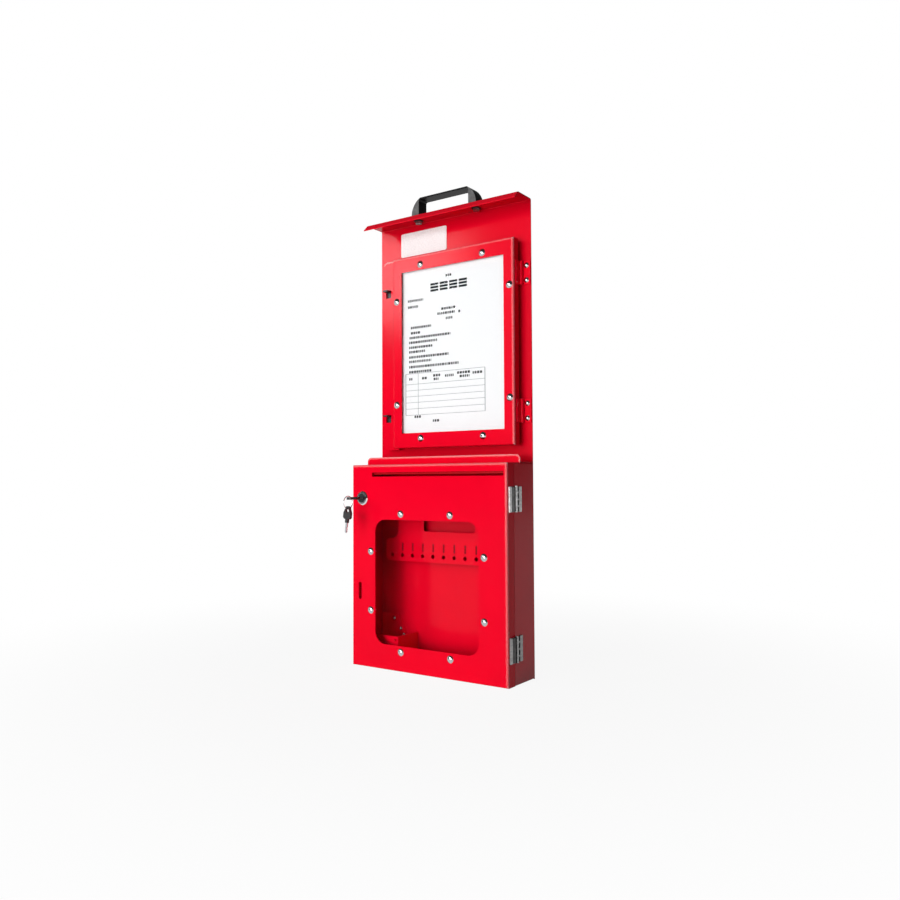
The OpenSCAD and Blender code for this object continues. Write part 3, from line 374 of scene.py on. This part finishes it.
# Painted highlights and painted shade: bright bands where the ribs and the barrel catch the light, dark
# bands in the grooves and in the gaps beside the knuckles.
HINGE_LIGHT_BANDS = [
    # millimetres behind the hinge's front edge, brightness
    (0, 0.85), (5.0, 0.75), (6.0, 0.10), (8.6, 0.16), (9.6, 0.22), (13.4, 0.20), (14.2, 0.05), (15.3, 0.08),
    (16.0, 0.90), (19.6, 0.80), (21.0, 0.55), (38.0, 0.55),
]
LOW_HINGE = 0.42        # brightness of the lower hinge, as a share of the upper one's
HINGES_BETWEEN = (100 * MM, 200 * MM)


def hinge_metal(name, front_edge):
    """Stamped hinge leaf: dull zinc, with painted highlight and shade in bands along its ribs and barrel,
    mottled wear, and darker on the lower hinge.
    """
    mat, nodes, links, bsdf = shader(name, (0.5, 0.5, 0.5), 0.34, metallic=0.85)
    where = nodes.new("ShaderNodeTexCoord")
    split = nodes.new("ShaderNodeSeparateXYZ")
    links.new(where.outputs["Object"], split.inputs["Vector"])
    length = HINGE_LIGHT_BANDS[-1][0]
    along = spread(nodes, links, split.outputs["Y"], 0, 1, front_edge, front_edge + length * MM)
    ramp = nodes.new("ShaderNodeValToRGB")
    stops = ramp.color_ramp.elements
    for i, (place, level) in enumerate(HINGE_LIGHT_BANDS):
        last = i == len(HINGE_LIGHT_BANDS) - 1
        stop = stops[0] if i == 0 else stops[-1] if last else stops.new(place / length)
        stop.color = (level, level, level, 1)
    links.new(along, ramp.inputs["Fac"])
    mottle = spread(nodes, links, noise(nodes, links, 330, 3), 0.55, 1.15)
    lower_darker = spread(nodes, links, split.outputs["Z"], LOW_HINGE, 1, *HINGES_BETWEEN)
    shaded_bands = nodes.new("ShaderNodeVectorMath")
    shaded_bands.operation = "SCALE"
    links.new(ramp.outputs["Color"], shaded_bands.inputs[0])
    links.new(math_node(nodes, links, "MULTIPLY", mottle, lower_darker), shaded_bands.inputs["Scale"])
    links.new(shaded_bands.outputs["Vector"], bsdf.inputs["Base Color"])
    marks = noise(nodes, links, 2500, 4, (1, 1, 0.04))
    links.new(spread(nodes, links, marks, 0.26, 0.42), bsdf.inputs["Roughness"])
    bump(nodes, links, bsdf, marks, 0.05, 0.0001)
    return mat


RED = (0.95, 0.0008, 0.021)
MATERIALS = {
    "red_enamel": powder_coat("red_powder_coat", RED, 0.16),
    # The baffle behind the door's slot is a darker red than the coat, a painted shade.
    "dark_red_enamel": powder_coat("baffle_coat", (0.5, 0.003, 0.008), 0.25),
    "clear_plastic": clear_sheet("clear_sheet"),
    "black_rubber": plastic("black_rubber", (0.02, 0.02, 0.02), 0.7, depth=0.2),
    "chrome_screw": metal("chromed_screw", (0.54, 0.55, 0.56), 0.13, scale=900, depth=0.02),
    "zinc": metal("zinc_plate", (0.62, 0.63, 0.66), 0.32),
    "hinge_steel": hinge_metal("hinge_steel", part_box("door_hinge_door_leaves")[0][1]),
    "lock_chrome": metal("lock_chrome", (0.86, 0.87, 0.88), 0.10, scale=700, depth=0.02),
    "black_plug": plastic("lock_face", (0.012, 0.014, 0.015), 0.28, depth=0.04),
    "black_plastic": plastic("black_nylon", (0.018, 0.018, 0.02), 0.42),
    "black_enamel": plastic("black_coat", (0.012, 0.012, 0.013), 0.35, grain=600, depth=0.08),
    "white_board": powder_coat("white_coat", (0.85, 0.85, 0.85), 0.3),
    "white_paper": paper("office_paper", (0.90, 0.91, 0.92)),
    "white_label": plastic("label_vinyl", (0.76, 0.78, 0.78), 0.5, depth=0.0),
    "magnet": plastic("magnet_cap", (0.25, 0.25, 0.26), 0.35),
}

PRINT_DARK = paper("print_dark", (0.012, 0.016, 0.02))
PRINT_PALE = paper("print_pale", (0.25, 0.27, 0.29))
MARK_RED = plastic("mark_red", (0.06, 0.001, 0.002), 0.5, specular=0.1)
OWN_FINISH = {
    # shade paints shade into recesses, and rim paints a highlight along that node's folds.
    "back_board": powder_coat("board_coat", RED, 0.16, shade=0.45),
    "cabinet_door": powder_coat("door_coat", RED, 0.16, gloss=DOOR_GLOSS, rim="cabinet_door"),
    "top_tray": powder_coat("tray_coat", RED, 0.16, rim="top_tray"),
    "cabinet_shell": powder_coat("shell_coat", RED, 0.16, shade=0.55),
    "frame_cover": powder_coat("cover_coat", RED, 0.16, shade=0.3, rim="frame_cover"),
    "carry_handle": handle_coat("handle_coat"),
    # The bolt heads and washers are darkened to paint the shade under the canopy.
    "handle_bolts": metal("bolt_steel", (0.30, 0.29, 0.29), 0.35),
    "handle_washers": metal("dark_washer", (0.035, 0.03, 0.03), 0.4),
}


def dress_nodes():
    slot_of = {s["node"]: s["material_slot"] for s in frame["record"]["subparts"]}
    for name, obj in frame["nodes"].items():
        obj.data.materials.clear()
        obj.data.materials.append(OWN_FINISH.get(name) or MATERIALS[slot_of[name]])


dress_nodes()


def soften_edges(names, width):
    """Rounds the sheet's edges a little, so that they catch the light."""
    for name in names:
        obj = frame["nodes"][name]
        bevel = obj.modifiers.new("edge", "BEVEL")
        bevel.width = width
        bevel.segments = 2
        bevel.limit_method = "ANGLE"
        bevel.angle_limit = math.radians(40)
        bevel.use_clamp_overlap = False
        bevel.harden_normals = False


soften_edges(["cabinet_shell", "cabinet_door", "frame_cover", "back_board", "top_tray"], 0.5 * MM)
soften_edges(["key_rack", "key_bin", "label_plate"], 0.25 * MM)
soften_edges(["carry_handle"], 0.7 * MM)

# ------------------------------------------------------------------ pieces added to the frame


CORNER_LIMIT = 2.2      # a corner's radius is at most the plate's side divided by this


def plates(name, rows, y, thickness, mat, radius=0.0):
    """One piece made of thin upright plates, each (x0, z0, x1, z1), standing off y towards the front."""
    mesh = bmesh.new()
    for x0, z0, x1, z1 in rows:
        corner = min(radius, (x1 - x0) / CORNER_LIMIT, (z1 - z0) / CORNER_LIMIT)
        outline = rounded(x0, z0, x1, z1, corner)
        front = [mesh.verts.new((x, y - thickness, z)) for x, z in outline]
        rear = [mesh.verts.new((x, y, z)) for x, z in outline]
        mesh.faces.new(front)
        mesh.faces.new(rear[::-1])
        for i in range(len(outline)):
            j = (i + 1) % len(outline)
            mesh.faces.new((front[j], front[i], rear[i], rear[j]))
    bmesh.ops.recalc_face_normals(mesh, faces=mesh.faces)
    data = bpy.data.meshes.new(name)
    mesh.to_mesh(data)
    mesh.free()
    obj = bpy.data.objects.new(name, data)
    data.materials.append(mat)
    bpy.context.collection.objects.link(obj)
    return obj


def rounded(x0, z0, x1, z1, r, steps=3):
    """Outline of a rectangle with round corners, anticlockwise from the front."""
    if r <= 0:
        return [(x0, z0), (x1, z0), (x1, z1), (x0, z1)]
    centres = [(x1 - r, z0 + r, -90), (x1 - r, z1 - r, 0), (x0 + r, z1 - r, 90), (x0 + r, z0 + r, 180)]
    points = []
    for cx, cz, start in centres:
        for i in range(steps + 1):
            angle = math.radians(start + 90 * i / steps)
            points.append((cx + r * math.cos(angle), cz + r * math.sin(angle)))
    return points


# The form on the permit sheet, in millimetres from the sheet's left and top edges.
HEADING = [(61, 36.5, 16, 14), (80, 36.5, 16, 14), (99, 36.5, 16, 14), (118, 36.5, 16, 14)]
LINES = [
    # left, middle height, right
    (92, 27, 103),
    (14, 61, 46), (14, 71.5, 36),
    (83, 81.5, 112), (75, 89, 110), (117, 89.5, 121), (92, 98, 105),
    (20, 107, 62), (20, 116, 40), (17, 124, 101), (16, 132, 74), (16, 140.5, 65),
    (16, 148, 49), (16, 157, 97), (16, 164.5, 62), (16, 173.5, 118), (16, 182, 62),
    (16, 194, 24), (43, 194, 53), (66, 191, 80), (67, 197, 77), (90, 193, 107),
    (114, 190, 140), (119, 196, 138), (144, 192, 162),
    (27, 258, 41), (65, 266, 78),
]
TABLE_LEFT, TABLE_TOP, TABLE_RIGHT = 8.8, 185, 167.4
TABLE_ROWS = [185, 203, 213.4, 223.6, 233.8, 244.4, 255]
TABLE_COLUMN = 35
WORD_HIGH = 4.0
WORD_LONG = (2.0, 4.4)
WORD_GAP = 1.3
WORD_LEFT_OUT = 0.5     # a rest of a line that is shorter than this gets no word
HEADING_BARS = 3
HEADING_PITCH = 0.37    # of the heading's height
HEADING_BAR = 0.26
ROW_RULE = 0.6
COLUMN_RULE = 0.7
BORDER_RULE = 1.3
PRINT_THICK = 0.05 * MM
PRINT_ROUND = 0.4 * MM


def sheet_print():
    """The form: plain bars where a real one has words, and a ruled table."""
    low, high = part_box("permit_sheet")
    left, top, y = low[0], high[2], low[1]

    def area(x, z, w, h):
        return (left + x * MM, top - (z + h) * MM, left + (x + w) * MM, top - z * MM)

    chance = random.Random(7)
    words = []
    for x, z, w, h in HEADING:
        words += [area(x, z + i * h * HEADING_PITCH, w, h * HEADING_BAR) for i in range(HEADING_BARS)]
    for start, middle, end in LINES:
        x = start
        while x < end - WORD_LEFT_OUT:
            wide = min(chance.uniform(*WORD_LONG), end - x)
            words.append(area(x, middle - WORD_HIGH / 2, wide, WORD_HIGH))
            x += wide + WORD_GAP
    rules = [area(TABLE_LEFT, z - ROW_RULE / 2, TABLE_RIGHT - TABLE_LEFT, ROW_RULE) for z in TABLE_ROWS]
    for x in (TABLE_LEFT, TABLE_COLUMN, TABLE_RIGHT):
        wide = COLUMN_RULE if x == TABLE_COLUMN else BORDER_RULE
        rules.append(area(x - wide / 2, TABLE_TOP, wide, TABLE_ROWS[-1] - TABLE_TOP))
    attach(plates("sheet_words", words, y, PRINT_THICK, PRINT_DARK, PRINT_ROUND), "station")
    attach(plates("sheet_rules", rules, y, PRINT_THICK, PRINT_PALE), "station")


sheet_print()

RACK_MARKS = 8
MARK_WIDE = 2.8 * MM
MARK_BARS = [(-6.5, -2.7), (-1.8, 1.8), (2.7, 6.5)]
HIDDEN_MARKS = 3        # behind the door, past the last one in view


def rack_marks():
    """Plain marks above the rack's holes, in line with them."""
    rack = frame["nodes"]["key_rack"]
    first = on_surface(POINTS["first_rack_mark"], rack)
    last = on_surface(POINTS["last_rack_mark"], rack)
    pitch = (last.x - first.x) / (RACK_MARKS - 1)
    middle = (first.z + last.z) / 2
    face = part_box("key_rack")[0][1]
    bars = []
    for i in range(RACK_MARKS + HIDDEN_MARKS):
        x = first.x + i * pitch
        for z0, z1 in MARK_BARS:
            bars.append((x - MARK_WIDE / 2, middle + z0 * MM, x + MARK_WIDE / 2, middle + z1 * MM))
    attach(plates("rack_marks", bars, face, PRINT_THICK, MARK_RED, PRINT_ROUND), "station")


rack_marks()

# ------------------------------------------------------------------ floor, backdrop and light

FLOOR_HALF = 6.0
FLOOR_DROP = 0.2 * MM
# The floor shows its own shade in this share near the object, and none of it further out.
FLOOR_SHADE = 0.08
SHADE_REACH = (0.2, 1.1)
WHITE_RAYS = ("Is Camera Ray", "Is Glossy Ray", "Is Transmission Ray")


def largest(nodes, links, values):
    total = values[0]
    for value in values[1:]:
        total = math_node(nodes, links, "MAXIMUM", total, value)
    return total


def add_floor():
    mesh = bmesh.new()
    corners = [(-FLOOR_HALF, -FLOOR_HALF), (FLOOR_HALF, -FLOOR_HALF), (FLOOR_HALF, FLOOR_HALF),
               (-FLOOR_HALF, FLOOR_HALF)]
    mesh.faces.new([mesh.verts.new((x, y, -FLOOR_DROP)) for x, y in corners])
    data = bpy.data.meshes.new("floor")
    mesh.to_mesh(data)
    mesh.free()
    floor = bpy.data.objects.new("floor", data)
    bpy.context.collection.objects.link(floor)
    mat, nodes, links, bsdf = shader("floor_paper", (0.6, 0.6, 0.6), 0.9, specular=0.0)
    white = nodes.new("ShaderNodeEmission")
    white.inputs["Color"].default_value = (1, 1, 1, 1)
    white.inputs["Strength"].default_value = 1.0
    where = nodes.new("ShaderNodeTexCoord")
    length = nodes.new("ShaderNodeVectorMath")
    length.operation = "LENGTH"
    links.new(where.outputs["Object"], length.inputs[0])
    fade = nodes.new("ShaderNodeMapRange")
    fade.interpolation_type = "SMOOTHSTEP"
    fade.inputs["From Min"].default_value = SHADE_REACH[0]
    fade.inputs["From Max"].default_value = SHADE_REACH[1]
    fade.inputs["To Min"].default_value = 1 - FLOOR_SHADE
    fade.inputs["To Max"].default_value = 1.0
    links.new(length.outputs["Value"], fade.inputs["Value"])
    mix = nodes.new("ShaderNodeMixShader")
    path = nodes.new("ShaderNodeLightPath")
    seen = largest(nodes, links, [path.outputs[kind] for kind in WHITE_RAYS])
    links.new(math_node(nodes, links, "MULTIPLY", seen, fade.outputs["Result"]), mix.inputs["Fac"])
    links.new(bsdf.outputs["BSDF"], mix.inputs[1])
    links.new(white.outputs["Emission"], mix.inputs[2])
    links.new(mix.outputs["Shader"], nodes["Material Output"].inputs["Surface"])
    data.materials.append(mat)
    floor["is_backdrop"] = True


ROOM_TOWARD = (0.45, 0.85, 0.1)
ROOM_FRONT = 0.05
ROOM_BACK = 0.12
ROOM_EDGE = (-0.1, 0.8)
WHITE_TOWARD = (-0.65, 0.65, -0.8)
WHITE_EDGE = (0.22, 0.32)


def light_world():
    """White for the camera and through glass, and in reflections that look down past the object's
    left rear. All other reflections see the dim room that lights the object."""
    world = bpy.data.worlds.new("world")
    bpy.context.scene.world = world
    world.use_nodes = True
    nodes, links = world.node_tree.nodes, world.node_tree.links
    nodes.clear()
    where = nodes.new("ShaderNodeTexCoord").outputs["Generated"]
    level = spread(nodes, links, dot(nodes, links, where, ROOM_TOWARD), ROOM_FRONT, ROOM_BACK, *ROOM_EDGE)
    behind = spread(nodes, links, dot(nodes, links, where, WHITE_TOWARD), 0, 1, *WHITE_EDGE)
    room = nodes.new("ShaderNodeBackground")
    room.inputs["Color"].default_value = (1, 1, 1, 1)
    links.new(level, room.inputs["Strength"])
    white = nodes.new("ShaderNodeBackground")
    white.inputs["Color"].default_value = (1, 1, 1, 1)
    white.inputs["Strength"].default_value = 1.0
    path = nodes.new("ShaderNodeLightPath")
    mirrored = math_node(nodes, links, "MULTIPLY", path.outputs["Is Glossy Ray"], behind)
    seen = largest(nodes, links, [path.outputs["Is Camera Ray"], path.outputs["Is Transmission Ray"],
                                  mirrored])
    mix = nodes.new("ShaderNodeMixShader")
    out = nodes.new("ShaderNodeOutputWorld")
    links.new(seen, mix.inputs["Fac"])
    links.new(room.outputs["Background"], mix.inputs[1])
    links.new(white.outputs["Background"], mix.inputs[2])
    links.new(mix.outputs["Shader"], out.inputs["Surface"])


AIM = Vector((0, 0, 0.42))


def softbox(name, azimuth, elevation, distance, width, height, power):
    """An area light that faces the object. Azimuth 0 is in front, positive to the right."""
    a, e = math.radians(azimuth), math.radians(elevation)
    way = Vector((math.sin(a) * math.cos(e), -math.cos(a) * math.cos(e), math.sin(e)))
    data = bpy.data.lights.new(name, "AREA")
    data.shape = "RECTANGLE"
    data.size = width
    data.size_y = height
    data.energy = power
    obj = bpy.data.objects.new(name, data)
    obj.location = AIM + way * distance
    obj.rotation_euler = way.to_track_quat("Z", "Y").to_euler()
    obj.visible_camera = False
    bpy.context.collection.objects.link(obj)


SOFTBOXES = [
    # name, azimuth, elevation, distance, width, height, watts
    ("key_light", -10, 9, 2.6, 1.1, 1.3, 31),
    ("left_light", -40, 19, 2.4, 0.5, 0.4, 8),
    ("low_light", 4, -6, 1.9, 0.8, 0.5, 12.5),
    ("right_strip", 60, -10, 1.15, 0.08, 0.4, 0.4),
]

add_floor()
light_world()
for box in SOFTBOXES:
    softbox(*box)

bpy.context.scene.view_settings.view_transform = "Standard"

# ------------------------------------------------------------------ image points found in the model


def shown_vertices(obj, front=False):
    """Where a piece's vertices show, or only those within half a millimetre of its front."""
    shape = obj.evaluated_get(bpy.context.evaluated_depsgraph_get())
    mesh = shape.to_mesh()
    places = [shape.matrix_world @ v.co for v in mesh.vertices]
    shape.to_mesh_clear()
    if front:
        nearest = min(p.y for p in places)
        places = [p for p in places if p.y < nearest + 0.5 * MM]
    return [seen_at(p) for p in places]


def corner_of(node):
    """The vertex of a node that shows nearest to an image point."""
    def find(point):
        places = shown_vertices(frame["nodes"][node])
        return min(places, key=lambda p: math.hypot(p[0] - point[0], p[1] - point[1]))
    return find


def middle_of(node, front=False):
    """The middle of a node, or of its frontmost ring of vertices."""
    def find(point):
        places = shown_vertices(frame["nodes"][node], front)
        xs, ys = [p[0] for p in places], [p[1] for p in places]
        return (min(xs) + max(xs)) / 2, (min(ys) + max(ys)) / 2
    return find


def write_points():
    outline = [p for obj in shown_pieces() for p in shown_vertices(obj)]
    marks = shown_vertices(bpy.data.objects["rack_marks"])
    finders = {
        "object_left": lambda p: (min(v[0] for v in outline), None),
        "object_right": lambda p: (max(v[0] for v in outline), None),
        "object_top": lambda p: (None, min(v[1] for v in outline)),
        "object_bottom": lambda p: (None, max(v[1] for v in outline)),
        "door_top_left": corner_of("cabinet_door"),
        "door_top_right": corner_of("cabinet_door"),
        "door_bottom_left": corner_of("cabinet_door"),
        "door_bottom_right": corner_of("cabinet_door"),
        "label_top_left": corner_of("label_plate"),
        "label_bottom_right": corner_of("label_plate"),
        "cover_top_left": corner_of("frame_cover"),
        "cover_top_right": corner_of("frame_cover"),
        "cover_bottom_right": corner_of("frame_cover"),
        "canopy_left": corner_of("back_board"),
        "canopy_right": corner_of("back_board"),
        "lock": middle_of("lock_housing", front=True),
        "first_rack_mark": lambda p: min(marks, key=lambda v: math.hypot(v[0] - p[0], v[1] - p[1])),
        "last_rack_mark": lambda p: min(marks, key=lambda v: math.hypot(v[0] - p[0], v[1] - p[1])),
    }
    for name, point in POINTS.items():
        found = finders[name](point)


write_points()
